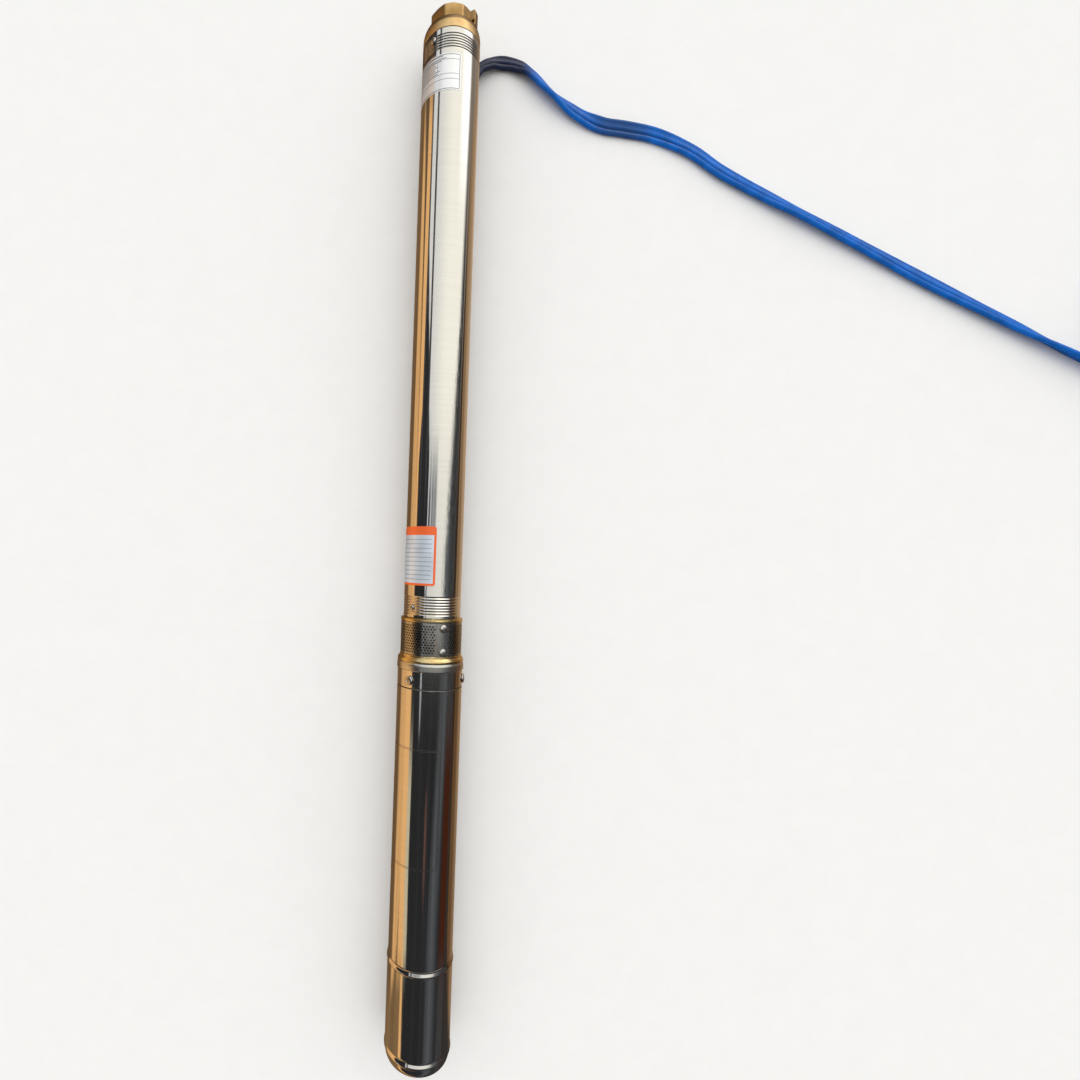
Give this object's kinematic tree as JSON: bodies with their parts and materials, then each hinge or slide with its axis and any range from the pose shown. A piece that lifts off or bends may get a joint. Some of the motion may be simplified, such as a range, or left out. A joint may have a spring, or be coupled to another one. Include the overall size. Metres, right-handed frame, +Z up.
{
  "type": "borehole submersible pump",
  "caption": "Slim multistage borehole pump with steel barrel and motor, brass outlet and inlet, perforated strainer, cable guard and flat cable.",
  "frame": {"origin": "centre of the flat bottom face, on the pump's axis", "axes": "+Y along the axis to the outlet, +Z up as the pump lies on its side, +X to the side where the cable leaves"},
  "size_m": [1.0725, 1.217, 0.0784],
  "materials": {
    "polished_steel": "polished",
    "brushed_steel": "brushed",
    "strainer_steel": "satin",
    "brass": "satin",
    "blue_sheath": "satin",
    "black_rubber": "matte",
    "core_steel": "matte",
    "copper_winding": "satin",
    "stage_plastic": "satin",
    "capacitor_case": "satin"
  },
  "bodies": {
    "pump": {"outlet_head": "brass", "valve_guide": "brass", "pump_barrel": "polished_steel", "lock_screw_lower": "brushed_steel", "lock_screw_upper": "brushed_steel", "top_bearing_spider": "stage_plastic", "shaft_bush": "black_rubber", "inlet_body": "brass", "strainer": "strainer_steel", "strainer_screw_1": "brushed_steel", "strainer_screw_2": "brushed_steel", "upper_end_bell": "brushed_steel", "seal_seat": "core_steel", "upper_bearing": "brushed_steel", "lower_bearing": "brushed_steel", "motor_shell": "polished_steel", "stator_core": "core_steel", "winding_head_lower": "copper_winding", "winding_head_upper": "copper_winding", "lower_end_bell": "core_steel", "capacitor_housing": "polished_steel", "capacitor": "capacitor_case", "base_cap": "polished_steel", "motor_screw_1": "brushed_steel", "motor_screw_2": "brushed_steel", "motor_screw_3": "brushed_steel", "cable_guard": "polished_steel", "guard_screw_lower": "brushed_steel", "guard_screw_upper": "brushed_steel", "cable_gland": "black_rubber", "guarded_cable": "blue_sheath", "drop_cable": "blue_sheath", "cable_coil": "blue_sheath", "diffuser_1": "stage_plastic", "diffuser_2": "stage_plastic", "diffuser_3": "stage_plastic", "diffuser_4": "stage_plastic", "diffuser_5": "stage_plastic", "diffuser_6": "stage_plastic", "diffuser_7": "stage_plastic", "diffuser_8": "stage_plastic"},
    "rotor": {"motor_shaft": "brushed_steel", "rotor_core": "core_steel", "seal_rotor": "black_rubber", "coupling": "brushed_steel", "pump_shaft": "brushed_steel", "impeller_1": "stage_plastic", "impeller_2": "stage_plastic", "impeller_3": "stage_plastic", "impeller_4": "stage_plastic", "impeller_5": "stage_plastic", "impeller_6": "stage_plastic", "impeller_7": "stage_plastic", "impeller_8": "stage_plastic"},
    "check_valve": {"check_valve_poppet": "brass", "poppet_seal": "black_rubber"}
  },
  "joints": [
    {"name": "rotor_spin", "type": "hinge", "parent": "pump", "child": "rotor", "pos_m": [0, 0.3, 0], "axis": [0, 1, 0], "continuous": true},
    {"name": "valve_lift", "type": "slide", "parent": "pump", "child": "check_valve", "axis": [0, 1, 0], "range_m": [0, 0.006]}
  ]
}
